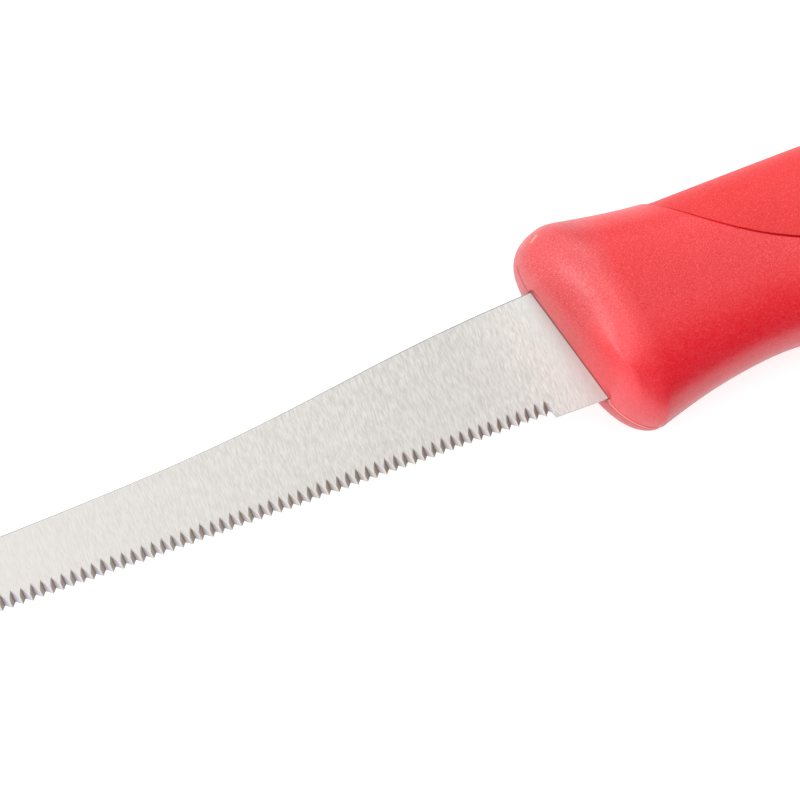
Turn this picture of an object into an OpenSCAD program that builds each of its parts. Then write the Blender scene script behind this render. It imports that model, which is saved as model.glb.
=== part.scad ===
// Small serrated tomato knife, lying on its side with the ground face up.
// Millimetres. The point is at -X, the butt at +X, the back of the blade at +Y.

/* [Blade] */
// Length of the edge, from the point to the corner of the plain heel
edge_len = 118; // [95:1:150]
// Thickness of the blade sheet
blade_t = 1.0; // [0.8:0.1:1.4]
// Height of the back above the tooth tips, at the heel
heel_h = 14.4; // [12:0.1:16]
// Drop of the plain heel below the tooth tips
heel_drop = 0.45; // [0.3:0.05:0.7]
// Even fall of the back towards the point, per millimetre of length
back_slope = 0.033; // [0.02:0.001:0.04]
// Height lost in the soft shoulder of the back
shoulder_drop = 4.5; // [3:0.1:5]
// Distance from the heel corner to the middle of that shoulder
shoulder_pos = 24.6; // [18:0.2:32]
// Half length over which the shoulder falls
shoulder_run = 21.2; // [12:0.2:26]
// Length over which the back curves down to the point
point_len = 22; // [14:1:30]
// Length over which the edge curves up to the point
belly_len = 7.5; // [5:0.5:9]
// Height that the edge gains at the point
point_rise = 1.2; // [0.8:0.1:1.8]

/* [Teeth] */
// Distance from tooth to tooth
tooth_pitch = 1.25; // [1:0.05:1.6]
// Height of the ground flutes above the tooth tips
flute_rise = 1.95; // [1.7:0.05:2.2]
// Angle between the floor of a flute and the face of the blade
flute_tilt = 21.5; // [20:0.5:24]
// Angle at which the flutes run off towards the heel
flute_skew = 10; // [6:1:14]
// Half angle of the grinding wheel's vee
vee_half = 55; // [52:1:58]
// Lean of the vee, which makes the flank on the heel side steeper
vee_lean = 2; // [0:0.5:4]
// Angle of the hone behind the teeth
hone_angle = 22; // [20:1:26]
// Distance from the heel corner to the end of the hone
hone_stop = 0.45; // [0.3:0.05:0.8]
// Distance from the heel corner to the floor of the first flute
first_flute = 1.12; // [1.1:0.01:1.2]
// Plain edge left at the point
plain_point = 3; // [2.5:0.5:6]

/* [Tang] */
// Depth to which the full blade height reaches into the handle
blade_bite = 5.4; // [4.5:0.1:8]
// Length of the tang, from the front of the handle
tang_reach = 59.4; // [45:0.2:75]
// Height of the tang
tang_h = 9.6; // [8:0.2:11]
// Diameter of the keying holes that the plastic flows through
key_hole_d = 4.8; // [3:0.2:6]
// Number of keying holes
key_holes = 3; // [2:1:4]

/* [Handle front] */
// Distance from the heel corner to the front of the handle, at mid height
front_x = 4.6; // [3.5:0.05:6]
// Height at which that distance is taken, above the tooth tips
mid_y = 7; // [6:0.5:9]
// Forward lean of the front face, per millimetre of height
front_lean = 0.286; // [0.1:0.002:0.35]
// Length of the rounding at the upper corner of the front
nose_run_top = 7.5; // [5:0.1:8]
// Length of the rounding at the lower corner of the front
nose_run_low = 3.65; // [3:0.05:5]
// Height of the rounding at the upper corner of the front
nose_round_top = 6.9; // [4.5:0.1:8]
// Height of the rounding at the lower corner of the front
nose_round_low = 5.1; // [4:0.1:6]
// Half width of the flattest part of the front face
nose_flat = 2.0; // [1.5:0.1:4]

/* [Handle outline] */
// Length of the handle, at mid height
handle_len = 106; // [92:1:125]
// Height of the back of the neck above the tooth tips
neck_top = 20.15; // [18:0.05:23]
// Depth of the belly side of the neck below the tooth tips
neck_drop = 2.25; // [1:0.05:3.5]
// Rise of the guard above the back of the neck
guard_rise = 1.57; // [0.6:0.01:2]
// Drop of the guard below the neck
guard_drop = 3.6; // [2:0.1:5]
// Distance from the front to the guard's upper crest
guard_top_run = 2; // [1:0.1:4]
// Distance from the front to the guard's lower crest
guard_low_run = 6.4; // [5:0.1:8]
// Distance from the front to the foot of the upper flare
neck_top_run = 16.2; // [13:0.1:20]
// Distance from the front to the foot of the lower flare
neck_low_run = 26.4; // [23:0.1:32]
// Sharpness of both flares
flare_power = 1.6; // [1.2:0.1:2]
// Crown of the back over its length
back_arch = 1.05; // [0.4:0.05:1.4]
// Drop of the belly below the neck
belly_drop = 2.5; // [1:0.1:3]
// Drop of the pommel below the neck
pommel_drop = 2.3; // [1:0.1:2.8]
// Length of the pommel, from where it starts to swell to the butt
pommel_len = 20.6; // [17:0.2:25]
// Length over which the pommel swells
pommel_run = 13; // [8:0.5:14]
// Length of the rounding at the butt
butt_run = 8; // [6:0.5:9]
// Height of the rounding at the butt
butt_round = 7.6; // [6:0.1:8.5]
// Half width of the flattest part of the butt
butt_flat = 2.4; // [1.5:0.1:4]

/* [Handle thickness] */
// Half thickness at the guard and at the belly, on which the knife lies
guard_half = 9; // [8:0.1:10]
// Half thickness at the neck
neck_half = 7.9; // [7:0.1:8.5]
// Half thickness at the pommel
pommel_half = 8.6; // [7.5:0.1:8.8]
// Squareness of the cross-section, 2 being an ellipse
squareness = 2.5; // [2.1:0.1:3]

/* [Soft grip] */
// Depth of the pocket that holds the soft grip
pocket = 1.6; // [1.2:0.1:2]
// Step down from the hard skin to the soft one
grip_step = 0.22; // [0.1:0.02:0.4]
// Depth of the bevel on the soft edge
grip_bevel = 0.25; // [0.1:0.05:0.4]
// Depth of the broken edge on the hard side
hard_bevel = 0.1; // [0.06:0.02:0.2]
// Distance from the front of the handle to the grip's front end
grip_lead = 14.2; // [12:0.1:20]
// Distance from the grip's rear end to the butt
grip_tail = 11.6; // [10.6:0.2:20]
// Height of the lowest run of the seam above the tooth tips
seam_low = 3.4; // [3:0.1:8]
// Length in which the seam falls from the front end to a third of its height
seam_fall = 15; // [8:0.1:16]
// Length in which the seam rises to the rear end
seam_climb = 8; // [6:0.5:14]

/* [Hidden] */
STEEL = [0.80, 0.79, 0.77];
HARD_RED = [0.93, 0.28, 0.30];
SOFT_RED = [0.90, 0.20, 0.23];

// Steps of the lofted shells
NOSE_STEPS = 10;
NECK_STEPS = 5;
GRIP_STEPS = 40;
TAIL_STEPS = 3;
BUTT_STEPS = 10;
LOW_POINTS = 45;
POCKET_POINTS = 17;
ROUND = 48;

// Half angle of the grip's blunt ends, and of the band in line with them
END_BAND = 15;
// Angle over which a bevelled seam edge falls
BEVEL_BAND = 2.2;

// Steps of the outlines that follow a formula
BACK_STEP = 3;
POINT_STEPS = 10;

half_t = blade_t / 2;
tang_y = (heel_h - heel_drop) / 2;
shoulder_x = front_x + blade_bite;
tang_x = front_x + tang_reach;
butt_x = front_x + handle_len;
pommel_x = butt_x - pommel_len;
guard_top_x = front_x + guard_top_run;
guard_low_x = front_x + guard_low_run;
neck_top_x = front_x + neck_top_run;
neck_low_x = front_x + neck_low_run;
grip_front_x = front_x + grip_lead;
grip_rear_x = butt_x - grip_tail;

function tanh(u) = (exp(2 * u) - 1) / (exp(2 * u) + 1);
function clamp01(t) = max(0, min(1, t));
function ease(t) = let (c = clamp01(t)) c * c * (3 - 2 * c);
function flare(x, crest, foot) = pow(clamp01((foot - x) / (foot - crest)), flare_power);
function arch(x, start, end) = sin(180 * clamp01((x - start) / (end - start)));

// Back of the blade: an even fall with one soft shoulder
function plain_back(x) =
    heel_h + back_slope * x + shoulder_drop / 2
    * (tanh((x + shoulder_pos) / shoulder_run) - tanh(shoulder_pos / shoulder_run));
point_y = point_rise - heel_drop;
function back_y(x) =
    let (t = clamp01((-x - edge_len + point_len) / point_len))
    point_y + (plain_back(x) - point_y) * (1 - t * t);

// Outline of the whole plate, blade and tang, seen on the ground face
module plate_outline() {
    back_steps = ceil((edge_len - point_len + shoulder_x) / BACK_STEP);
    difference() {
        union() {
            polygon([
                each [for (i = [0:back_steps])
                    let (x = shoulder_x - (shoulder_x + edge_len - point_len) * i / back_steps)
                    [x, back_y(x)]],
                each [for (i = [1:POINT_STEPS])
                    let (x = -edge_len + point_len * (1 - i / POINT_STEPS))
                    [x, back_y(x)]],
                each [for (i = [1:POINT_STEPS])
                    let (t = 1 - i / POINT_STEPS)
                    [-edge_len + belly_len * (1 - t), -heel_drop + point_rise * t * t]],
                [shoulder_x, -heel_drop]
            ]);
            translate([shoulder_x - 1, tang_y - tang_h / 2])
                square([tang_x - tang_h / 2 - shoulder_x + 1, tang_h]);
            translate([tang_x - tang_h / 2, tang_y])
                circle(d = tang_h, $fn = ROUND);
        }
        for (i = [0:key_holes - 1])
            translate([tang_x - tang_h / 2 - i * (tang_x - shoulder_x - tang_h) / key_holes, tang_y])
                circle(d = key_hole_d, $fn = ROUND);
    }
}

module plate() {
    translate([0, 0, -half_t])
        linear_extrude(blade_t)
            plate_outline();
}

// The row of vee flutes, ground from the upper face out through the edge.
// The prism's own section is the row of vees, and it runs down the flute floors.
point_flank = tan(vee_half + vee_lean);
heel_flank = tan(vee_half - vee_lean);
ridge_h = tooth_pitch * cos(flute_skew) / (point_flank + heel_flank);
flute_depth = ridge_h + flute_rise;
flutes = floor((edge_len - plain_point - first_flute) / tooth_pitch);
row_len = (flutes - 1) * tooth_pitch;
module flute_row() {
    overrun = 0.3;
    run_in = (first_flute + row_len) * sin(flute_skew) + overrun;
    floors = [for (i = [flutes - 1:-1:0]) -(first_flute + i * tooth_pitch) * cos(flute_skew)];
    translate([0, flute_rise, half_t])
        rotate([90 + flute_tilt, 0, 0])
            rotate([0, flute_skew, 0])
                translate([0, 0, -run_in])
                    linear_extrude(run_in + flute_rise + heel_drop + blade_t)
                        polygon([
                            [floors[0] - flute_depth * point_flank, flute_depth],
                            each [for (i = [0:flutes - 1])
                                each (i < flutes - 1
                                    ? [[floors[i], 0], [floors[i] + ridge_h * heel_flank, ridge_h]]
                                    : [[floors[i], 0]])],
                            [floors[flutes - 1] + flute_depth * heel_flank, flute_depth]
                        ]);
}

// The hone on the far face, which meets the ridges between flutes at the tooth tips
ridge_z = half_t - flute_rise * tan(flute_tilt) + ridge_h / cos(flute_tilt);
hone_h = (ridge_z + half_t) / tan(hone_angle);
module hone() {
    overrun = 2;
    translate([-hone_stop, 0, 0])
        rotate([0, -90, 0])
            linear_extrude(first_flute + row_len - hone_stop)
                polygon([
                    [-half_t - overrun * tan(hone_angle), hone_h + overrun],
                    [-half_t - overrun * tan(hone_angle), -overrun],
                    [-half_t + (hone_h + overrun) * tan(hone_angle), -overrun]
                ]);
}

// Lines of the handle, as heights and half thickness along its length
function top_line(x) =
    neck_top + guard_rise * flare(x, guard_top_x, neck_top_x) + back_arch * arch(x, neck_top_x, butt_x);
function low_line(x) =
    -neck_drop - guard_drop * flare(x, guard_low_x, neck_low_x)
    - belly_drop * pow(arch(x, neck_low_x, pommel_x), 2)
    - pommel_drop * ease((x - pommel_x) / pommel_run);
function side_line(x) =
    neck_half + (guard_half - neck_half) * (flare(x, guard_low_x, neck_low_x)
    + pow(arch(x, neck_low_x, pommel_x), 2))
    + (pommel_half - neck_half) * ease((x - pommel_x) / pommel_run);

guard_h = guard_rise + neck_top + neck_drop + guard_drop;
nose_run = (nose_run_top + nose_run_low) / 2;
nose_end = front_x + nose_run;
nose_lean = front_lean - (nose_run_top - nose_run_low) / guard_h;
butt_start = butt_x - butt_run;
function lean_at(x) = nose_lean * pow(clamp01((neck_low_x - x) / (neck_low_x - nose_end)), 2);

// Height of the seam, which sweeps from the back down the side and up again
function seam_y(x) =
    seam_low
    + (top_line(grip_front_x) - seam_low) * exp(-max(0, x - grip_front_x) / seam_fall)
    + (top_line(grip_rear_x) - seam_low) * exp(-max(0, grip_rear_x - x) / seam_climb);

// One cross-section: [axial place, lean, top, bottom, half thickness]
function section(x, lean, shrink_top, shrink_low, narrow) =
    let (
        top = top_line(x - lean * (neck_top - mid_y)) - shrink_top,
        low = low_line(x + lean * (mid_y + neck_drop)) + shrink_low,
        side = side_line(x)
    )
    [x, lean, top, low, side - narrow * side];

function nose_section(i) =
    let (
        turn = 90 * i / NOSE_STEPS,
        run = 1 - cos(turn),
        cut = 1 - sin(turn)
    )
    section(front_x + nose_run * run, front_lean - run * (front_lean - nose_lean),
        nose_round_top * cut, nose_round_low * cut, cut * (1 - nose_flat / guard_half));

function butt_section(i) =
    let (
        turn = 90 * i / BUTT_STEPS,
        cut = 1 - cos(turn)
    )
    section(butt_start + butt_run * sin(turn), 0,
        butt_round * cut, butt_round * cut, cut * (1 - butt_flat / pommel_half));

function plain_section(x) = section(x, lean_at(x), 0, 0, 0);

// The grip's stations crowd towards its two ends, where the seam turns quickest
function grip_x(i) =
    grip_front_x + (grip_rear_x - grip_front_x) * (1 - cos(180 * i / GRIP_STEPS)) / 2;
function grip_station(i) = grip_x(i) + lean_at(grip_x(i)) * (seam_y(grip_x(i)) - mid_y);

// Angle from the back at which the seam lies on a section
function seam_angle(s) =
    let (
        mid = (s[2] + s[3]) / 2,
        y = seam_y(s[0] - s[1] * (seam_y(s[0]) - mid_y)),
        up = min(1, (y - mid) / (s[2] - mid)),
        out = pow(1 - pow(abs(up), squareness), 1 / squareness)
    )
    max(END_BAND, atan2(out, up));

// A point on a section, at an angle from the back and a depth under the skin
function skin(s, angle, depth) =
    let (
        mid = (s[2] + s[3]) / 2,
        reach = pow(pow(abs(cos(angle)), squareness) + pow(abs(sin(angle)), squareness), -1 / squareness),
        y = mid + (s[2] - mid - depth) * reach * cos(angle),
        z = (s[4] - depth) * reach * sin(angle)
    )
    [s[0] - s[1] * (y - mid_y), y, z];

// Ring of the hard body: the low skin, then the band of the pocket
function body_ring(s, band, depth) =
    let (
        bevel = min(BEVEL_BAND, band * 0.3),
        low_arc = 360 - 2 * (band + bevel),
        floor_band = depth > 0 ? band : band - bevel
    )
    [
        skin(s, band, depth > 0 ? hard_bevel : 0),
        each [for (j = [0:LOW_POINTS - 1])
            skin(s, band + bevel + low_arc * j / (LOW_POINTS - 1), 0)],
        skin(s, -band, depth > 0 ? hard_bevel : 0),
        each [for (j = [0:POCKET_POINTS - 1])
            skin(s, floor_band * (2 * j / (POCKET_POINTS - 1) - 1), depth)]
    ];

// Ring of the soft grip: its skin, then the floor it shares with the pocket
function grip_ring(s, band) =
    let (
        bevel = min(BEVEL_BAND, band * 0.3)
    )
    [
        skin(s, -band, grip_step + grip_bevel),
        each [for (j = [0:POCKET_POINTS - 1])
            skin(s, (band - bevel) * (2 * j / (POCKET_POINTS - 1) - 1), grip_step)],
        skin(s, band, grip_step + grip_bevel),
        each [for (j = [0:POCKET_POINTS - 1])
            skin(s, band * (1 - 2 * j / (POCKET_POINTS - 1)), pocket)]
    ];

// A closed shell through equal rings, with flat ends. Each patch is split along its shorter diagonal.
module loft(rings) {
    n = len(rings[0]);
    last = len(rings) - 1;
    points = [for (r = rings) each r];
    polyhedron(
        points = points,
        faces = [
            [for (j = [0:n - 1]) j],
            each [for (i = [0:last - 1], j = [0:n - 1])
                let (
                    a = i * n + j,
                    b = i * n + (j + 1) % n,
                    c = b + n,
                    d = a + n
                )
                each (norm(points[a] - points[c]) > norm(points[b] - points[d])
                    ? [[a, d, b], [b, d, c]] : [[a, d, c], [a, c, b]])],
            [for (j = [n - 1:-1:0]) last * n + j]
        ],
        convexity = 6
    );
}

neck_end = grip_station(0);
grip_end = grip_station(GRIP_STEPS);
neck_sections = [for (i = [1:NECK_STEPS]) plain_section(nose_end + (neck_end - nose_end) * i / (NECK_STEPS + 1))];
grip_sections = [for (i = [0:GRIP_STEPS]) plain_section(grip_station(i))];
tail_sections = [for (i = [1:TAIL_STEPS]) plain_section(grip_end + (butt_start - grip_end) * i / (TAIL_STEPS + 1))];

// Where the finished outline reaches, for setting the part on its own middle
tops = [for (i = [0:NOSE_STEPS]) nose_section(i)[2]];
lows = [for (i = [0:NOSE_STEPS]) nose_section(i)[3]];
all_tops = concat(tops, [for (s = grip_sections) s[2] - grip_step]);
all_lows = concat(lows, [for (s = concat(neck_sections, grip_sections, tail_sections)) s[3]]);
place = [(edge_len - butt_x) / 2, -(max(all_tops) + min(all_lows)) / 2, guard_half];

module blade() {
    color(STEEL)
        translate(place)
            difference() {
                plate();
                flute_row();
                hone();
            }
}

module handle_body() {
    color(HARD_RED)
        translate(place)
            difference() {
                loft([
                    each [for (i = [0:NOSE_STEPS]) body_ring(nose_section(i), END_BAND, 0)],
                    each [for (s = neck_sections) body_ring(s, END_BAND, 0)],
                    each [for (i = [0:GRIP_STEPS])
                        let (s = grip_sections[i])
                        body_ring(s, seam_angle(s), i > 0 && i < GRIP_STEPS ? pocket : 0)],
                    each [for (s = tail_sections) body_ring(s, END_BAND, 0)],
                    each [for (i = [0:BUTT_STEPS]) body_ring(butt_section(i), END_BAND, 0)]
                ]);
                plate();
            }
}

module soft_grip() {
    color(SOFT_RED)
        translate(place)
            loft([for (i = [1:GRIP_STEPS - 1]) grip_ring(grip_sections[i], seam_angle(grip_sections[i]))]);
}

blade();
handle_body();
soft_grip();
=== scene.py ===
"""Looks of the tomato knife: ground steel blade, hard handle shell and soft grip inlay.

Sizes are millimetres in the source's own frame, x from the heel corner, y from the tooth tips
and z from the middle of the blade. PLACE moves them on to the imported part.
"""

import math
import random

import bmesh
import bpy
import numpy as np
from mathutils import Matrix, Vector


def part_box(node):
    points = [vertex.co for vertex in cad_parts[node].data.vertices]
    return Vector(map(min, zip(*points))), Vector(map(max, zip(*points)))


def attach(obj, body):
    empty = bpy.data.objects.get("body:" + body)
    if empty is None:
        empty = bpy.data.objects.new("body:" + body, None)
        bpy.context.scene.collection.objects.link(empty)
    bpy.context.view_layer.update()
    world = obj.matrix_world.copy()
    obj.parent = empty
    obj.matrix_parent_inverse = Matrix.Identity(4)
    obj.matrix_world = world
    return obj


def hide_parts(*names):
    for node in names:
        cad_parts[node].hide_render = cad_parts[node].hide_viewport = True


MM = 0.001

# Blade
EDGE_LEN = 118.0
BLADE_T = 1.0
HEEL_H = 14.4
HEEL_DROP = 0.45
BACK_SLOPE = 0.033
SHOULDER_DROP = 4.5
SHOULDER_POS = 24.6
SHOULDER_RUN = 21.2
POINT_LEN = 22.0
BELLY_LEN = 7.5
POINT_RISE = 1.2
PITCH = 1.25
FLUTE_RISE = 1.95
FLUTE_TILT = math.radians(21.5)
FLUTE_SKEW = math.radians(10)
VEE_HALF = math.radians(55)
VEE_LEAN = math.radians(2)
HONE_ANGLE = math.radians(22)
FIRST_FLUTE = 1.12
PLAIN_POINT = 3.0
HONE_LEAN = 0.5
HOLLOW = 0.1
HOLLOW_RUN = 1.25
STRAY_ALONG = 0.018
STRAY_DEEP = 0.022
STRAY_SEED = 7
EDGE_BOW = 0.17
BOW_LEN = 76.0
BROKEN_EDGE = 0.05
TOOL_SPARE = 0.5
HONE_SPARE = 2.0

# Tang
BLADE_BITE = 5.4
TANG_REACH = 59.4
TANG_H = 9.6
KEY_HOLE_D = 4.8
KEY_HOLES = 3

# Handle
FRONT_X = 4.6
MID_Y = 7.0
FRONT_LEAN = 0.286
NOSE_RUN_TOP = 7.5
NOSE_RUN_LOW = 3.65
NOSE_ROUND_TOP = 6.9
NOSE_ROUND_LOW = 5.1
NOSE_FLAT = 2.0
NOSE_TIGHT = 1.9
NOSE_TIGHT_Y = 10.0
HANDLE_LEN = 106.0
NECK_TOP = 20.15
NECK_DROP = 2.25
GUARD_RISE = 1.57
GUARD_DROP = 3.6
GUARD_TOP_RUN = 2.0
GUARD_LOW_RUN = 6.4
NECK_TOP_RUN = 16.2
NECK_LOW_RUN = 26.4
FLARE_POWER = 1.6
BACK_ARCH = 1.05
BELLY_DROP = 2.5
POMMEL_DROP = 2.3
POMMEL_LEN = 20.6
POMMEL_RUN = 13.0
BUTT_RUN = 8.0
BUTT_ROUND = 7.6
BUTT_FLAT = 2.4
GUARD_HALF = 9.0
NECK_HALF = 7.9
POMMEL_HALF = 8.6
SQUARENESS = 2.5

# Soft grip and its seam
POCKET = 1.6
GRIP_STEP = 0.22
GRIP_LEAD = 14.2
GRIP_TAIL = 11.6
SEAM_LOW = 3.4
SEAM_FALL = 15.0
SEAM_CLIMB = 8.0
SEAM_GAP = 0.07
SEAM_WAVER = 0.035
WAVER_WAVES = ((1.0, 2.9, 0.4), (0.7, 6.7, 1.9), (0.5, 13.1, 0.0))
WAVER_FADE = 3.0
LIP_ROUND = 0.15
END_BAND = 6.0

# Moulding marks
FLASH_RIDGE = 0.12
FLASH_GROOVE = 0.10
FLASH_WIDTH = 0.13
FLASH_REAR = 0.45
GROOVE_REAR = 0.3
FLASH_RUN = 8.0
GROOVE_TOP = 17.6
PARTING_BAND = 0.7
PARTING_START = 0.3
GROOVE_START = 0.5
SLOT_ROUND = 0.2
SLOT_DEPTH = 0.9
SLOT_SQUARENESS = 14.0
SLOT_GAP = 0.03
NICK = (4.31, 20.1, 3.02)
NICK_WAY = (0.96, 0.63, 0.3)
NICK_SIZE = (0.55, 0.34)
SPECK = (2.77, 18.89, 1.75)
SPECK_SIZE = (0.05, 0.1)
MARK_FADE = 0.1

# Fineness of the meshes: points of an outline or a ring, and rings along the handle
BACK_POINTS = 60
BEND_POINTS = 24
BELLY_POINTS = 12
TANG_STEPS = 24
HOLE_POINTS = 48
SIDE_POINTS = 64
FLOOR_POINTS = 12
LIP_POINTS = 5
GRIP_SKIN_POINTS = 49
GRIP_FLOOR_POINTS = 9
SLOT_LIP_RINGS = 7
NOSE_RINGS = 30
NECK_RINGS = 22
GRIP_RINGS = 190
REAR_RINGS = 9
BUTT_RINGS = 30

# Places worked out from the sizes above
HALF_T = BLADE_T / 2
SHOULDER_X = FRONT_X + BLADE_BITE
TANG_X = FRONT_X + TANG_REACH
TANG_Y = (HEEL_H - HEEL_DROP) / 2
BUTT_X = FRONT_X + HANDLE_LEN
BUTT_START = BUTT_X - BUTT_RUN
POMMEL_X = BUTT_X - POMMEL_LEN
GUARD_TOP_X = FRONT_X + GUARD_TOP_RUN
GUARD_LOW_X = FRONT_X + GUARD_LOW_RUN
NECK_TOP_X = FRONT_X + NECK_TOP_RUN
NECK_LOW_X = FRONT_X + NECK_LOW_RUN
GRIP_FRONT_X = FRONT_X + GRIP_LEAD
GRIP_REAR_X = BUTT_X - GRIP_TAIL
NOSE_RUN = (NOSE_RUN_TOP + NOSE_RUN_LOW) / 2
NOSE_END = FRONT_X + NOSE_RUN
NOSE_LEAN = FRONT_LEAN - (NOSE_RUN_TOP - NOSE_RUN_LOW) / (GUARD_RISE + NECK_TOP + NECK_DROP + GUARD_DROP)

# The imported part, and where the source's zero lies in it
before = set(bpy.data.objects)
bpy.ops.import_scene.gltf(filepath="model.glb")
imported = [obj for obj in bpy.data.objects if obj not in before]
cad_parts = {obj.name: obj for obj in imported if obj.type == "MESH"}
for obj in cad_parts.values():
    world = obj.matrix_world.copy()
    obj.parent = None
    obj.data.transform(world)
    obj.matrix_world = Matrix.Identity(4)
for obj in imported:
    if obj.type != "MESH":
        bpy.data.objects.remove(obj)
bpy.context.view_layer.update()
blade_low, blade_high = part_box("blade")
PLACE = Vector(
    (
        blade_low.x / MM + EDGE_LEN,
        blade_low.y / MM + HEEL_DROP,
        (blade_low.z + blade_high.z) / 2 / MM,
    )
)


# Helpers for meshes


def link(name, mesh):
    """A new object in the scene with this mesh."""
    obj = bpy.data.objects.new(name, mesh)
    bpy.context.scene.collection.objects.link(obj)
    return obj


def mesh_from(name, points, faces):
    mesh = bpy.data.meshes.new(name)
    mesh.from_pydata([tuple(p) for p in points], [], [tuple(f) for f in faces])
    mesh.validate()
    return mesh


def outward(mesh):
    """Turns all faces outwards."""
    bm = bmesh.new()
    bm.from_mesh(mesh)
    bmesh.ops.recalc_face_normals(bm, faces=bm.faces)
    bm.to_mesh(mesh)
    bm.free()
    return mesh


def prism(name, outline, low, high):
    """A straight prism over a closed outline of (x, y), from z low to z high."""
    n = len(outline)
    points = [(x, y, z) for z in (low, high) for x, y in outline]
    sides = [(i, (i + 1) % n, n + (i + 1) % n, n + i) for i in range(n)]
    caps = [tuple(range(n - 1, -1, -1)), tuple(range(n, 2 * n))]
    return outward(mesh_from(name, points, sides + caps))


def modified(obj, kind, **settings):
    """Applies one modifier to the mesh of obj."""
    modifier = obj.modifiers.new(kind, kind)
    for key, value in settings.items():
        setattr(modifier, key, value)
    graph = bpy.context.evaluated_depsgraph_get()
    mesh = bpy.data.meshes.new_from_object(obj.evaluated_get(graph))
    obj.modifiers.clear()
    obj.data = mesh
    return obj


def cut(obj, tool):
    """Takes tool's solid away from obj, and tool with it."""
    modified(obj, "BOOLEAN", operation="DIFFERENCE", solver="EXACT", object=tool)
    bpy.data.objects.remove(tool)
    return obj


def to_frame(obj):
    """From the source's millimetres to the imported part's metres."""
    obj.data.transform(Matrix.Scale(MM, 4) @ Matrix.Translation(PLACE))
    obj.data.update()
    return obj


def smooth(obj, sharp_deg):
    """Smooth shading, apart from edges sharper than an angle."""
    for polygon in obj.data.polygons:
        polygon.use_smooth = True
    obj.data.set_sharp_from_angle(angle=math.radians(sharp_deg))
    return obj


# Form of the blade


def plain_back(x):
    fall = math.tanh((x + SHOULDER_POS) / SHOULDER_RUN) - math.tanh(SHOULDER_POS / SHOULDER_RUN)
    return HEEL_H + BACK_SLOPE * x + SHOULDER_DROP / 2 * fall


def back_y(x):
    t = min(1, max(0, (-x - EDGE_LEN + POINT_LEN) / POINT_LEN))
    point_y = POINT_RISE - HEEL_DROP
    return point_y + (plain_back(x) - point_y) * (1 - t * t)


def arc(cx, cy, r, start, end, steps):
    """Points round (cx, cy) from one angle to another, in degrees."""
    return [
        (cx + r * math.cos(math.radians(a)), cy + r * math.sin(math.radians(a)))
        for a in np.linspace(start, end, steps + 1)
    ]


def plate_outline():
    """The sheet with its tang: back, point, belly, edge, then round the tang to the back again."""
    tang_low, tang_top = TANG_Y - TANG_H / 2, TANG_Y + TANG_H / 2
    bend_x = -EDGE_LEN + POINT_LEN
    back = [(x, back_y(x)) for x in np.linspace(SHOULDER_X, bend_x, BACK_POINTS)]
    point = [(x, back_y(x)) for x in np.linspace(bend_x, -EDGE_LEN, BEND_POINTS)[1:]]
    belly = [
        (-EDGE_LEN + BELLY_LEN * (1 - t), -HEEL_DROP + POINT_RISE * t * t)
        for t in np.linspace(1, 0, BELLY_POINTS)[1:]
    ]
    heel = [(SHOULDER_X, -HEEL_DROP), (SHOULDER_X, tang_low)]
    tang = arc(TANG_X - TANG_H / 2, TANG_Y, TANG_H / 2, -90, 90, TANG_STEPS)
    return back + point + belly + heel + tang + [(SHOULDER_X, tang_top)]


def plate(name):
    """The sheet before grinding, with the keying holes in its tang."""
    obj = link(name, prism(name, plate_outline(), -HALF_T, HALF_T))
    last = TANG_X - TANG_H / 2
    for i in range(KEY_HOLES):
        x = last - i * (TANG_X - SHOULDER_X - TANG_H) / KEY_HOLES
        hole = arc(x, TANG_Y, KEY_HOLE_D / 2, 0, 360 - 360 / HOLE_POINTS, HOLE_POINTS - 1)
        cut(obj, link("hole", prism("hole", hole, -2 * BLADE_T, 2 * BLADE_T)))
    return obj


def flute_floor(s):
    """Depth of a flute's hollow floor under the face, s millimetres below its upper end."""
    hollow = HOLLOW * s * (HOLLOW_RUN - s) if 0 < s < HOLLOW_RUN else 0.0
    return math.tan(FLUTE_TILT) * s + hollow


# Slopes of a flute across the blade: sideways of its floor, and of its flanks to the point and the heel
SPREAD = math.cos(FLUTE_TILT) / math.cos(FLUTE_SKEW)
TWIST = math.sin(FLUTE_TILT) * math.tan(FLUTE_SKEW)
SIDEWAYS = math.tan(FLUTE_SKEW) / math.cos(FLUTE_TILT)
POINT_SIDE = math.tan(VEE_HALF + VEE_LEAN) * SPREAD + TWIST
HEEL_SIDE = math.tan(VEE_HALF - VEE_LEAN) * SPREAD - TWIST
RIDGE_H = PITCH / (POINT_SIDE + HEEL_SIDE)

# Where the flutes' tool has cross-sections, in millimetres below their upper ends
FLUTE_STATIONS = (-TOOL_SPARE, 0, 0.15, 0.3, 0.5, 0.7, 0.95, HOLLOW_RUN, 3.4)


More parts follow.
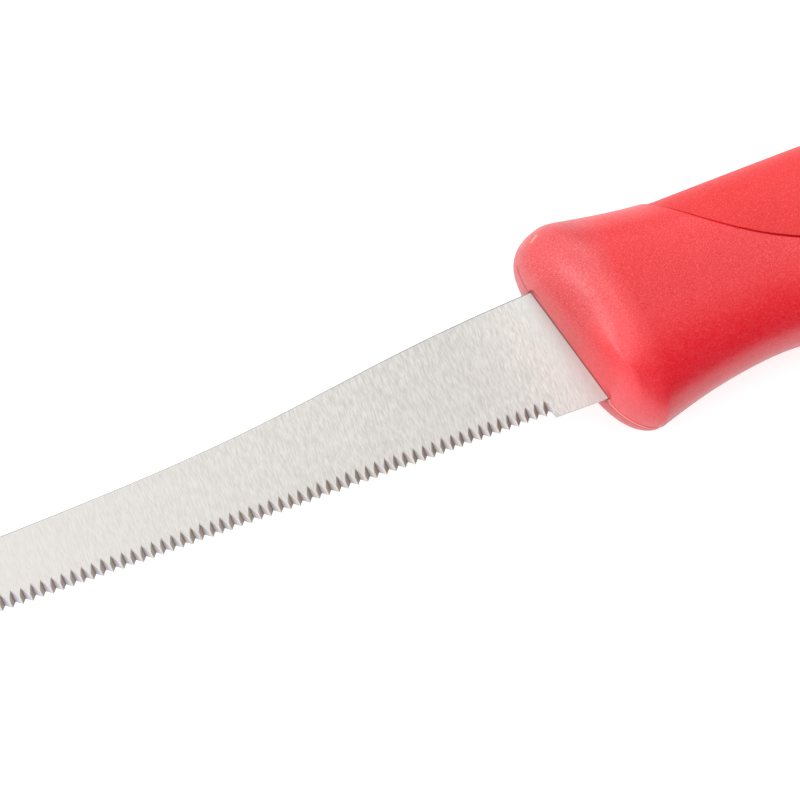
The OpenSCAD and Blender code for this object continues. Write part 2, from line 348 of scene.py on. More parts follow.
def flute_tool(jitter):
    """The row of vee flutes, each a little astray, with the level of the tooth tips and the count."""
    count = math.floor((EDGE_LEN - PLAIN_POINT - FIRST_FLUTE) / PITCH)
    strays = [(jitter.gauss(0, STRAY_ALONG), jitter.gauss(0, STRAY_DEEP)) for _ in range(count)]
    lid = HALF_T + 2 * RIDGE_H + TOOL_SPARE
    points = []
    for s in FLUTE_STATIONS:
        floors = [
            (-FIRST_FLUTE - i * PITCH + SIDEWAYS * s + strays[i][0], HALF_T - flute_floor(s) + strays[i][1])
            for i in range(count - 1, -1, -1)
        ]
        comb = [(floors[0][0] - (lid - floors[0][1]) * POINT_SIDE, lid), floors[0]]
        for (xa, za), (xb, zb) in zip(floors, floors[1:]):
            x = (zb - za + xb / POINT_SIDE + xa / HEEL_SIDE) / (1 / POINT_SIDE + 1 / HEEL_SIDE)
            comb += [(x, za + (x - xa) / HEEL_SIDE), (xb, zb)]
        comb.append((floors[-1][0] + (lid - floors[-1][1]) * HEEL_SIDE, lid))
        points += [(x, FLUTE_RISE - s, z) for x, z in comb]
    n = len(points) // len(FLUTE_STATIONS)
    faces = [
        (i * n + j, (i + 1) * n + j, (i + 1) * n + (j + 1) % n, i * n + (j + 1) % n)
        for i in range(len(FLUTE_STATIONS) - 1)
        for j in range(n)
    ]
    faces += [tuple(range(n)), tuple(range(len(points) - 1, len(points) - n - 1, -1))]
    tip_z = HALF_T - flute_floor(FLUTE_RISE) + RIDGE_H
    return link("flutes", outward(mesh_from("flutes", points, faces))), tip_z, count


def hone_tool(tip_z, count):
    """The hone on the far face, which meets the ridges between flutes at the tooth tips."""
    hone_h = (tip_z + HALF_T) / math.tan(HONE_ANGLE)
    rise = math.tan(HONE_ANGLE)
    section = [
        (-HALF_T - HONE_SPARE * rise, hone_h + HONE_SPARE),
        (-HALF_T - HONE_SPARE * rise, -HONE_SPARE),
        (-HALF_T + (hone_h + HONE_SPARE) * rise, -HONE_SPARE),
    ]
    heel_end = [(-HONE_LEAN * (y + HEEL_DROP), y, z) for z, y in section]
    points = heel_end + [(-FIRST_FLUTE - (count - 1) * PITCH, y, z) for z, y in section]
    faces = [(0, 1, 2), (5, 4, 3), (0, 3, 4, 1), (1, 4, 5, 2), (2, 5, 3, 0)]
    return link("hone", outward(mesh_from("hone", points, faces)))


def bow_edge(mesh):
    """A slight bow of the toothed edge, most in the middle of the stretch next to the heel."""
    for vertex in mesh.vertices:
        t = min(1, max(0, -vertex.co.x / BOW_LEN))
        vertex.co.y -= EDGE_BOW * 4 * t * (1 - t) * min(1, max(0, 1 - vertex.co.y / HEEL_H))


def make_blade():
    obj = plate("blade_ground")
    flutes, tip_z, count = flute_tool(random.Random(STRAY_SEED))
    cut(obj, flutes)
    cut(obj, hone_tool(tip_z, count))
    corners = {"limit_method": "ANGLE", "angle_limit": math.radians(24)}
    modified(obj, "BEVEL", width=BROKEN_EDGE, segments=2, **corners)
    bow_edge(obj.data)
    smooth(obj, sharp_deg=20)
    modified(obj, "WEIGHTED_NORMAL", keep_sharp=True)
    return to_frame(obj)


# Form of the handle


def clamp01(t):
    return np.clip(t, 0, 1)


def ease(t):
    c = clamp01(t)
    return c * c * (3 - 2 * c)


def flare(x, crest, foot):
    """1 up to the crest, falling in a hollow curve to 0 at the foot."""
    return clamp01((foot - x) / (foot - crest)) ** FLARE_POWER


def arch(x, start, end):
    """Half a wave, 0 at both ends and 1 in the middle."""
    return np.sin(np.pi * clamp01((x - start) / (end - start)))


def top_line(x):
    return NECK_TOP + GUARD_RISE * flare(x, GUARD_TOP_X, NECK_TOP_X) + BACK_ARCH * arch(x, NECK_TOP_X, BUTT_X)


def low_line(x):
    return (
        -NECK_DROP
        - GUARD_DROP * flare(x, GUARD_LOW_X, NECK_LOW_X)
        - BELLY_DROP * arch(x, NECK_LOW_X, POMMEL_X) ** 2
        - POMMEL_DROP * ease((x - POMMEL_X) / POMMEL_RUN)
    )


def side_line(x):
    swell = flare(x, GUARD_LOW_X, NECK_LOW_X) + arch(x, NECK_LOW_X, POMMEL_X) ** 2
    return (
        NECK_HALF
        + (GUARD_HALF - NECK_HALF) * swell
        + (POMMEL_HALF - NECK_HALF) * ease((x - POMMEL_X) / POMMEL_RUN)
    )


def lean_at(x):
    """Lean of the handle's cross-section at x, which ends at the neck."""
    return NOSE_LEAN * clamp01((NECK_LOW_X - x) / (NECK_LOW_X - NOSE_END)) ** 2


def waver(x):
    """Small unevenness of the moulded seam."""
    return SEAM_WAVER * sum(size * np.sin(rate * x + start) for size, rate, start in WAVER_WAVES)


def seam_y(x, inset=0.0):
    """Height of the seam at x, or of a line inset from it towards the grip."""
    front, rear = GRIP_FRONT_X + inset, GRIP_REAR_X - inset
    return (
        SEAM_LOW
        + inset
        + (top_line(front) - SEAM_LOW - inset) * np.exp(-np.maximum(0, x - front) / SEAM_FALL)
        + (top_line(rear) - SEAM_LOW - inset) * np.exp(-np.maximum(0, rear - x) / SEAM_CLIMB)
        + waver(x) * clamp01((x - front) / WAVER_FADE) * clamp01((rear - x) / WAVER_FADE)
    )


class Section:
    """One cross-section of the handle: a leaning superellipse, cut back at the nose and the butt."""

    def __init__(self, x, lean, shrink_top=0.0, shrink_low=0.0, narrow=0.0, narrow_low=0.0):
        self.x, self.lean = x, lean
        self.top = top_line(x - lean * (NECK_TOP - MID_Y)) - shrink_top
        self.low = low_line(x + lean * (MID_Y + NECK_DROP)) + shrink_low
        self.side, self.side_low = side_line(x) * (1 - narrow), side_line(x) * (1 - narrow_low)
        self.mid = (self.top + self.low) / 2

    def skin(self, angle, depth):
        """Points at angles from the back, in degrees, and depths under the skin."""
        a = np.radians(angle)
        reach = (np.abs(np.cos(a)) ** SQUARENESS + np.abs(np.sin(a)) ** SQUARENESS) ** (-1 / SQUARENESS)
        y = self.mid + (self.top - self.mid - depth) * reach * np.cos(a)
        near_low = (np.sin(a) > 0) * ease((NOSE_TIGHT_Y - y) / NOSE_TIGHT_Y)
        side = self.side + (self.side_low - self.side) * near_low
        z = (side - depth) * reach * np.sin(a)
        return np.stack([self.x - self.lean * (y - MID_Y), y, z], -1)

    def seam_angle(self, inset=0.0):
        """Angle from the back at which the seam crosses this section."""
        y = seam_y(self.x, inset)
        for _ in range(3):
            y = seam_y(self.x - self.lean * (y - MID_Y), inset)
        up = min(1.0, (y - self.mid) / (self.top - self.mid))
        out = (1 - abs(up) ** SQUARENESS) ** (1 / SQUARENESS)
        return math.degrees(math.atan2(out, up))

    def degrees_per_mm(self, angle):
        a, b = self.skin(np.array([angle - 0.5, angle + 0.5]), 0.0)
        return 1 / np.linalg.norm(a - b)


def nose(turn):
    """A section of the rounded front, turn 0 at the front face and a quarter turn at its end."""
    run, cut_back = 1 - math.cos(turn), 1 - math.sin(turn)
    cut_back_low = 1 - math.sin(min(math.pi / 2, turn * NOSE_TIGHT))
    return Section(
        FRONT_X + NOSE_RUN * run,
        FRONT_LEAN - run * (FRONT_LEAN - NOSE_LEAN),
        NOSE_ROUND_TOP * cut_back,
        NOSE_ROUND_LOW * cut_back,
        cut_back * (1 - NOSE_FLAT / GUARD_HALF),
        cut_back_low * (1 - NOSE_FLAT / GUARD_HALF),
    )


def butt(turn):
    """A section of the rounded rear, turn 0 at its start and a quarter turn at the rear face."""
    cut_back = 1 - math.cos(turn)
    return Section(
        BUTT_START + BUTT_RUN * math.sin(turn),
        0.0,
        BUTT_ROUND * cut_back,
        BUTT_ROUND * cut_back,
        cut_back * (1 - BUTT_FLAT / POMMEL_HALF),
        cut_back * (1 - BUTT_FLAT / POMMEL_HALF),
    )


def plain(x):
    """A section between the nose and the butt."""
    return Section(x, float(lean_at(x)))


def grip_stations(inset=0.0):
    """Places of the sections along the grip, closer together at its two ends."""
    front, rear = GRIP_FRONT_X + inset, GRIP_REAR_X - inset
    xs = front + (rear - front) * (1 - np.cos(np.linspace(0, np.pi, GRIP_RINGS))) / 2
    return [float(x + lean_at(x) * (seam_y(x, inset) - MID_Y)) for x in xs]


def crowded(count, near, fine):
    """Shares from 0 to 1 with extra ones close to 0, where the parting line runs."""
    return np.concatenate([np.linspace(0, near, fine, endpoint=False), np.linspace(near, 1, count)])


def body_ring(section, band, is_open):
    """Ring of the hard shell: lip, low skin, lip, then the pocket's floor or, where closed, the back."""
    per_mm = section.degrees_per_mm(band)
    turn = np.radians(np.linspace(90, 0, LIP_POINTS))
    lip_angle = band + LIP_ROUND * per_mm * (1 - np.sin(turn))
    lip_depth = LIP_ROUND * (1 - np.cos(turn))
    start = lip_angle[-1]
    side = crowded(SIDE_POINTS, near=0.03, fine=10)
    low = 180 - (180 - start) * side[::-1]
    low = np.concatenate([low[1:], 360 - low[-2:0:-1]])
    over = crowded(FLOOR_POINTS, near=0.12, fine=6)
    over = np.concatenate([-over[::-1], over[1:]]) * band
    angles = np.concatenate([lip_angle, low, -lip_angle[::-1], over])
    depths = np.concatenate(
        [lip_depth, np.zeros(len(low)), lip_depth[::-1], np.full(len(over), POCKET)]
    )
    return section.skin(angles, depths * is_open)


def stitch(rings):
    """Quads between equal rings, one after another."""
    n = len(rings[0])
    faces = []
    for i in range(len(rings) - 1):
        for j in range(n):
            k = (j + 1) % n
            faces.append((i * n + j, (i + 1) * n + j, (i + 1) * n + k, i * n + k))
    return faces


def front_patch(first):
    """Layers from the first ring to the lips of the blade's slot, which end a little way down it."""
    y0, y1 = first[:, 1].min(), first[:, 1].max()
    mid, half_y, half_z = (y0 + y1) / 2, (y1 - y0) / 2, first[:, 2].max()
    slot_y1 = back_y(FRONT_X - FRONT_LEAN * (HEEL_H - MID_Y)) + SLOT_GAP
    slot_y0 = -HEEL_DROP - SLOT_GAP
    slot_mid, slot_half = (slot_y0 + slot_y1) / 2, (slot_y1 - slot_y0) / 2
    angles = np.arctan2(first[:, 2] / half_z, (first[:, 1] - mid) / half_y)

    def layer(share, extra, depth):
        """A ring between the first one and the slot's outline, widened by extra and sunk by depth."""
        power = SQUARENESS + (SLOT_SQUARENESS - SQUARENESS) * share
        reach = (np.abs(np.cos(angles)) ** power + np.abs(np.sin(angles)) ** power) ** (-1 / power)
        a = half_y + (slot_half + extra - half_y) * share
        b = half_z + (HALF_T + SLOT_GAP + extra - half_z) * share
        m = mid + (slot_mid - mid) * share
        y, z = m + a * reach * np.cos(angles), b * reach * np.sin(angles)
        return np.stack([FRONT_X - FRONT_LEAN * (y - MID_Y) + depth, y, z], -1)

    layers = [layer(s, SLOT_ROUND, 0.0) for s in (0.35, 0.65, 0.85, 0.95)]
    for turn in np.radians(np.linspace(0, 90, SLOT_LIP_RINGS)):
        layers.append(layer(1.0, SLOT_ROUND * (1 - math.sin(turn)), SLOT_ROUND * (1 - math.cos(turn))))
    layers.append(layer(1.0, 0.0, SLOT_DEPTH))
    return layers


def parting_line(mesh):
    """Flash along the mould's parting plane: a ridge low down, trimmed level, and a groove over the back."""
    count = len(mesh.vertices)
    points, normals = np.zeros(count * 3), np.zeros(count * 3)
    mesh.vertices.foreach_get("co", points)
    mesh.vertex_normals.foreach_get("vector", normals)
    points, normals = points.reshape(-1, 3), normals.reshape(-1, 3)
    along = np.exp(-((points[:, 2] / FLASH_WIDTH) ** 2))
    low = points[:, 1] < MID_Y
    front = ease((NECK_TOP_X - points[:, 0]) / FLASH_RUN)
    ridge = FLASH_RIDGE * (FLASH_REAR + (1 - FLASH_REAR) * front)
    groove = FLASH_GROOVE * (GROOVE_REAR + (1 - GROOVE_REAR) * front)
    rise = np.where(low, ridge, -groove)
    clear_of_slot = (points[:, 1] < -HEEL_DROP - PARTING_START) | (points[:, 1] > HEEL_H + GROOVE_START)
    outside = (np.abs(points[:, 2]) < PARTING_BAND) & clear_of_slot
    by_grip = (points[:, 0] > GRIP_FRONT_X - GROOVE_START) & (points[:, 0] < GRIP_REAR_X + GROOVE_START)
    rise = np.where(low, rise, rise * (1 - ease(points[:, 1] - GROOVE_TOP)))
    lowest = points[:, 1].min()
    points += normals * (rise * along * outside * (low | ~by_grip))[:, None]
    points[:, 1] = np.maximum(points[:, 1], lowest)
    mesh.vertices.foreach_set("co", points.ravel())
    mesh.update()


def make_shell():
    """The hard shell from its front to its butt, with the pocket for the grip and the blade's slot."""
    sections = [(nose(t), END_BAND, 0) for t in np.linspace(0, math.pi / 2, NOSE_RINGS)]
    stations = grip_stations()
    sections += [(plain(x), END_BAND, 0) for x in np.linspace(NOSE_END, stations[0], NECK_RINGS)[1:-1]]
    for i, x in enumerate(stations):
        section = plain(x)
        is_end = i in (0, GRIP_RINGS - 1)
        band = END_BAND if is_end else max(END_BAND, section.seam_angle())
        sections.append((section, band, 0 if is_end else 1))
    sections += [(plain(x), END_BAND, 0) for x in np.linspace(stations[-1], BUTT_START, REAR_RINGS)[1:-1]]
    sections += [(butt(t), END_BAND, 0) for t in np.linspace(0, math.pi / 2, BUTT_RINGS)]
    rings = [body_ring(*s) for s in sections]
    rings = front_patch(rings[0])[::-1] + rings
    n = len(rings[0])
    caps = [tuple(range(n)), tuple((len(rings) - 1) * n + j for j in range(n - 1, -1, -1))]
    mesh = outward(mesh_from("handle_shell", np.concatenate(rings), stitch(rings) + caps))
    parting_line(mesh)
    obj = link("handle_shell", mesh)
    cut(obj, plate("slot_tool"))
    smooth(obj, sharp_deg=40)
    return to_frame(obj)


def grip_ring(section, band, sink):
    """Ring of the grip: its skin between two rounded edges, then back along the floor of the pocket."""
    per_mm = section.degrees_per_mm(band)
    turn = np.radians(np.linspace(0, 90, LIP_POINTS))
    edge_angle = band - LIP_ROUND * per_mm * (1 - np.cos(turn))[::-1]
    edge_depth = GRIP_STEP + sink + LIP_ROUND * (1 - np.sin(turn))[::-1]
    inner = min(edge_angle)
    skin = np.linspace(-inner, inner, GRIP_SKIN_POINTS)[1:-1]
    edge_in = np.sort(edge_angle)
    edge_down = np.sort(edge_depth)
    floor = np.linspace(band, -band, GRIP_FLOOR_POINTS)
    angles = np.concatenate([-edge_in[::-1], skin, edge_in, floor])
    depths = np.concatenate(
        [edge_down[::-1], np.full(len(skin), GRIP_STEP + sink), edge_down, np.full(len(floor), POCKET)]
    )
    return section.skin(angles, depths)


def make_grip():
    """The soft grip, a curved shell in the pocket, rounded down at its two ends."""
    rings = []
    stations = grip_stations(SEAM_GAP)
    for x in stations[1:-1]:
        section = plain(x)
        band = max(END_BAND - 1, section.seam_angle(SEAM_GAP))
        away = min(x - stations[1], stations[-2] - x)
        bite = 1 - min(1.0, away / LIP_ROUND)
        sink = LIP_ROUND * (1 - math.sqrt(1 - bite * bite))
        rings.append(grip_ring(section, band, sink))
    n = len(rings[0])
    caps = [tuple(range(n)), tuple((len(rings) - 1) * n + j for j in range(n - 1, -1, -1))]
    mesh = outward(mesh_from("grip_inlay", np.concatenate(rings), stitch(rings) + caps))
    obj = link("grip_inlay", mesh)
    smooth(obj, sharp_deg=50)
    return to_frame(obj)


# Materials


class Nodes:
    """Short names for building a node material."""

    def __init__(self, name):
        self.material = bpy.data.materials.new(name)
        self.material.use_nodes = True
        self.tree = self.material.node_tree
        self.shader = self.tree.nodes["Principled BSDF"]

    def add(self, kind, inputs=(), **settings):
        """A new node with its inputs, each a value or another node's socket."""
        node = self.tree.nodes.new(kind)
        for key, value in settings.items():
            setattr(node, key, value)
        for key, value in dict(inputs).items():
            if isinstance(value, bpy.types.NodeSocket):
                self.tree.links.new(value, node.inputs[key])
            else:
                node.inputs[key].default_value = value
        return node

    def coords(self, scale):
        place = self.add("ShaderNodeTexCoord").outputs["Object"]
        return self.add("ShaderNodeMapping", {"Vector": place, "Scale": scale}).outputs["Vector"]

    def source_xyz(self):
        """The point shaded, in millimetres of the source's own frame."""
        place = self.add("ShaderNodeTexCoord").outputs["Object"]
        inputs = {"Vector": place, "Scale": (1 / MM,) * 3, "Location": -PLACE}
        moved = self.add("ShaderNodeMapping", inputs).outputs["Vector"]
        return self.add("ShaderNodeSeparateXYZ", {0: moved}).outputs

    def mark(self, place, way, size):
        """An oblong mark at a place in the source's own frame. size is half its length and half its width."""
        half_long, half_wide = size
        here = self.add("ShaderNodeTexCoord").outputs["Object"]
        inputs = {"Vector": here, "Scale": (1 / MM,) * 3, "Location": -PLACE - Vector(place)}
        off = self.add("ShaderNodeMapping", inputs).outputs["Vector"]
        inputs = {0: off, 1: Vector(way).normalized()}
        along = self.add("ShaderNodeVectorMath", inputs, operation="DOT_PRODUCT").outputs["Value"]
        away = self.add("ShaderNodeVectorMath", {0: off}, operation="LENGTH").outputs["Value"]
        beside = self.math("SUBTRACT", self.product(away, away), self.product(along, along))
        side = self.math("SQRT", beside)
        slim = self.ramp(side, half_wide, half_wide * 0.4, 0, 1)
        short = self.ramp(self.math("ABSOLUTE", along), half_long + MARK_FADE, half_long, 0, 1)
        return self.math("MULTIPLY", slim, short)

    def math(self, operation, *values):
        return self.add("ShaderNodeMath", dict(enumerate(values)), operation=operation).outputs[0]

    def product(self, first, *others):
        for other in others:
            first = self.math("MULTIPLY", first, other)
        return first

    def noise(self, scale, detail, rough=0.5):
        """Noise between 0 and 1, scale its waves per metre along x, y and z."""
        inputs = {"Vector": self.coords(scale), "Scale": 1.0, "Detail": detail, "Roughness": rough}
        return self.add("ShaderNodeTexNoise", inputs).outputs["Fac"]

    def ramp(self, value, low, high, out_low, out_high):
        """Turns the span from low to high into one from out_low to out_high, and holds its ends."""
        node = self.add(
            "ShaderNodeMapRange",
            {"Value": value, "From Min": low, "From Max": high, "To Min": out_low, "To Max": out_high},
        )
        return node.outputs["Result"]

    def mix(self, share, a, b):
        node = self.add("ShaderNodeMix", data_type="RGBA")
        for socket, value in ((node.inputs[0], share), (node.inputs[6], a), (node.inputs[7], b)):
            if isinstance(value, bpy.types.NodeSocket):
                self.tree.links.new(value, socket)
            else:
                socket.default_value = value
        return node.outputs[2]

    def bump(self, height, strength, distance, normal=None):
        inputs = {"Height": height, "Strength": strength, "Distance": distance}
        if normal is not None:
            inputs["Normal"] = normal
        return self.add("ShaderNodeBump", inputs).outputs["Normal"]

    def feed(self, **sockets):
        """Fills the shader's inputs, named with underscores, and gives the finished material."""
        for key, value in sockets.items():
            socket = self.shader.inputs[key.replace("_", " ")]
            if isinstance(value, bpy.types.NodeSocket):
                self.tree.links.new(value, socket)
            else:
                socket.default_value = value
        return self.material


def linear(colour):
    """Display colour, 0 to 255, as a linear one."""
    shares = [v / 255 for v in colour]
    return tuple(v / 12.92 if v <= 0.04045 else ((v + 0.055) / 1.055) ** 2.4 for v in shares) + (1.0,)


def tones(**colours):
    return {name: linear(colour) for name, colour in colours.items()}


# The middle of a noise, where nearly all of its values lie
NOISE_SPAN = (0.3, 0.7)

# Waves per metre of the noises: hairlines and clouds of the steel, mould grain of the plastic
HAIRLINES = (5200, 1000, 600)
STEEL_CLOUD = (40, 60, 60)
MOULD_GRAIN = (6000,) * 3
MOULD_PEBBLE = (1700,) * 3
PLASTIC_CLOUD = (150,) * 3

# Stretch of the blade next to the heel, where the flutes have darker painted shade and their rims a fainter
# painted highlight
BY_HEEL = (-40, -5)

STEEL = tones(
    hairline_dark=(198, 195, 189),
    hairline_pale=(228, 225, 220),
    cloud=(207, 204, 199),
    front_dark=(206, 205, 199),
    front_pale=(240, 239, 233),
    beside_handle=(214, 233, 228),
    back_edge=(128, 128, 130),
    strip=(236, 236, 226),
    joint=(128, 92, 90),
)
# Painted light and shade of the flutes: reflections on the two flanks, shade on the floor and its edges,
# highlights on the crest and rims
FLUTE = tones(
    point_side=(204, 190, 177),
    point_side_heel=(112, 114, 108),
    heel_side=(214, 210, 222),
    heel_side_heel=(214, 208, 204),
    valley=(138, 122, 118),
    valley_edge=(140, 128, 126),
    crest=(252, 245, 236),
    rim=(250, 243, 234),
)
PLASTIC = tones(
    front_low=(206, 40, 48),
    front_high=(220, 80, 82),
    under_low=(255, 10, 34),
    under_high=(255, 46, 68),
    speckle_pale=(255, 128, 128),
    speckle_dark=(212, 0, 0),
    joint=(236, 120, 122),
    far_half=(224, 0, 24),
    flash=(255, 192, 180),
    groove=(140, 30, 42),
    seam=(214, 0, 32),
    nick=(252, 138, 110),
    speck=(128, 22, 30),
)


def front_gap(n, x, y):
    """Millimetres from the handle's leaning front, above zero inside the handle."""
    leaning = n.math("MULTIPLY_ADD", y, FRONT_LEAN, -FRONT_LEAN * MID_Y - FRONT_X)
    return n.math("ADD", x, leaning)


def spine_gap(n, x, y):
    """Millimetres down from the blade's back, leaving out the rounding of its point."""
    bend = n.math("TANH", n.math("MULTIPLY_ADD", x, 1 / SHOULDER_RUN, SHOULDER_POS / SHOULDER_RUN))
    level = HEEL_H - SHOULDER_DROP / 2 * math.tanh(SHOULDER_POS / SHOULDER_RUN)
    back = n.math("MULTIPLY_ADD", bend, SHOULDER_DROP / 2, n.math("MULTIPLY_ADD", x, BACK_SLOPE, level))
    return n.math("SUBTRACT", back, y)


def seam_level(n, x):
    """Height of the seam between the grip and the shell over x, as in seam_y but without its waver."""
    level = SEAM_LOW
    for way, end, run in ((1, GRIP_FRONT_X, SEAM_FALL), (-1, GRIP_REAR_X, SEAM_CLIMB)):
        away = n.math("MAXIMUM", n.math("MULTIPLY_ADD", x, way, -way * end), 0.0)
        fade = n.math("POWER", math.exp(-1 / run), away)
        level = n.math("MULTIPLY_ADD", fade, float(top_line(end)) - SEAM_LOW, level)
    return level


def flute_tone(n, x, y):
    """Painted light and shade over one flute: reflections tan to the point and light to the heel, a shaded
    dark floor and a highlighted pale crest.
    """
    run = n.math("MULTIPLY_ADD", y, SIDEWAYS / PITCH, (FIRST_FLUTE - SIDEWAYS * FLUTE_RISE) / PITCH)
    row = n.math("MULTIPLY_ADD", x, 1 / PITCH, run)
    across = n.math("FRACT", row)
    ridge = HEEL_SIDE / (HEEL_SIDE + POINT_SIDE)
    inside = n.ramp(row, ridge, ridge - 0.05, 0, 1)
    to_point = n.product(inside, n.ramp(across, ridge - 0.02, ridge + 0.02, 0, 1))
    point_side = n.mix(n.ramp(x, *BY_HEEL, 0, 0.7), FLUTE["point_side"], FLUTE["point_side_heel"])
    heel_side = n.mix(n.ramp(x, -70, -30, 0, 1), FLUTE["heel_side"], FLUTE["heel_side_heel"])
    tone = n.mix(to_point, heel_side, point_side)
    tone = n.mix(n.product(inside, n.ramp(across, 0.74, 1.0, 0, 0.9)), tone, FLUTE["valley"])
    tone = n.mix(n.ramp(n.math("ABSOLUTE", row), 0.3, 0.0, 0, 0.4), tone, FLUTE["valley_edge"])
    tone = n.mix(n.product(inside, n.ramp(across, 0.26, 0.0, 0, 0.7)), tone, FLUTE["valley_edge"])
    off_crest = n.math("ABSOLUTE", n.math("SUBTRACT", across, ridge))
    return n.mix(n.product(inside, n.ramp(off_crest, 0.11, 0.03, 0, 0.8)), tone, FLUTE["crest"])


def steel():
    """Steel ground across the blade, with fine hairlines that fade to the point, painted light and shade on
    the flutes, and painted shade along the back edge and where the blade meets the handle.
    """
    n = Nodes("brushed_steel")
    x, y, z = n.source_xyz()
    gap = front_gap(n, x, y)
    grain = n.noise(HAIRLINES, 2, 0.6)
    cloud = n.noise(STEEL_CLOUD, 2)
    hairline = n.ramp(grain, *NOISE_SPAN, -0.5, 0.5)
    hairline = n.math("MULTIPLY_ADD", hairline, n.ramp(x, -75, -25, 0.4, 1), 0.5)
    shade = n.mix(hairline, STEEL["hairline_dark"], STEEL["hairline_pale"])
    shade = n.mix(n.ramp(cloud, *NOISE_SPAN, 0, 0.25), shade, STEEL["cloud"])
    near_front = n.mix(hairline, STEEL["front_dark"], STEEL["front_pale"])
    shade = n.mix(n.ramp(gap, -13, -5, 0, 0.7), shade, near_front)
    shade = n.mix(n.ramp(gap, -4.5, -0.5, 0, 0.85), shade, STEEL["beside_handle"])
    # Painted shade along the blade's back edge
    shade = n.mix(n.ramp(spine_gap(n, x, y), 0.16, 0.06, 0, 0.75), shade, STEEL["back_edge"])

    # Painted light and shade on the ground flutes, and a painted highlight on their rims, fainter next to the
    # heel
    deep = n.math("SUBTRACT", HALF_T, z)
    ground = n.product(n.ramp(deep, 0.02, 0.06, 0, 1), n.ramp(y, FLUTE_RISE + 0.1, FLUTE_RISE, 0, 1))
    shade = n.mix(ground, shade, flute_tone(n, x, y))
    rim = n.product(n.ramp(deep, 0.004, 0.02, 0, 0.75), n.ramp(deep, 0.15, 0.06, 0, 1))
    shade = n.mix(n.product(rim, n.ramp(x, *BY_HEEL, 1, 0.4)), shade, FLUTE["rim"])

    strip = n.product(n.ramp(gap, -0.6, -0.3, 0, 0.6), n.ramp(y, 9, 1, 0.15, 1))
    shade = n.mix(strip, shade, STEEL["strip"])
    # Painted shade where the blade meets the handle
    shade = n.mix(n.ramp(gap, -0.12, -0.05, 0, 0.8), shade, STEEL["joint"])
    return n.feed(
        Base_Color=shade,
        Metallic=n.product(n.ramp(x, -24, -1, 1.0, 0.38), n.ramp(ground, 0, 1, 1, 0.4)),
        Roughness=n.ramp(grain, *NOISE_SPAN, 0.35, 0.39),
        Normal=n.bump(grain, 0.1, 0.000003),
    )


def seam_share(n, x, y):
    """Strength of the painted shade along the seam, which ends with the grip."""
    off_seam = n.math("ABSOLUTE", n.math("SUBTRACT", y, seam_level(n, x)))
    before = n.ramp(x, GRIP_FRONT_X - 0.4, GRIP_FRONT_X, 0, 1)
    behind = n.ramp(x, GRIP_REAR_X + 0.4, GRIP_REAR_X, 0, 1)
    return n.product(n.ramp(off_seam, 0.14, 0.24, 0.9, 0), before, behind)


def mould_marks(n, x, y, z, shade):
    """Marks of moulding and use, a nick and a speck, with painted light and shade: a reflection along the
    blade, shade on the far half, a highlight on the flash, shade in the groove on the back and along the
    seam.
    """
    # Painted reflection: a greyish pale band on the front face beside the blade
    joint = n.product(n.ramp(front_gap(n, x, y), 0.7, 0.1, 0, 0.3), n.ramp(y, 6, 13, 0.4, 1))
    shade = n.mix(joint, shade, PLASTIC["joint"])
    nose = n.ramp(x, 16, 9, 0, 1)
    # Painted shade on the far half, low down at the nose
    far_half = n.product(n.ramp(z, -0.1, -0.3, 0, 0.7), nose, n.ramp(y, 1, -0.4, 0, 1))
    shade = n.mix(far_half, shade, PLASTIC["far_half"])
    parting = n.product(nose, n.ramp(n.math("ABSOLUTE", z), 0.05, 0.12, 0.85, 0))
    # Painted highlight on the flash, low down at the nose
    shade = n.mix(n.product(parting, n.ramp(y, 2, 0, 0, 1)), shade, PLASTIC["flash"])
    # Painted shade in the groove on the back at the nose
    groove = n.product(parting, n.ramp(y, 12, 14, 0, 1), n.ramp(y, GROOVE_TOP + 1, GROOVE_TOP + 0.2, 0, 1))
    shade = n.mix(groove, shade, PLASTIC["groove"])
    # Painted shade along the seam
    shade = n.mix(seam_share(n, x, y), shade, PLASTIC["seam"])
    shade = n.mix(n.mark(NICK, NICK_WAY, NICK_SIZE), shade, PLASTIC["nick"])
    return n.mix(n.mark(SPECK, NICK_WAY, SPECK_SIZE), shade, PLASTIC["speck"])


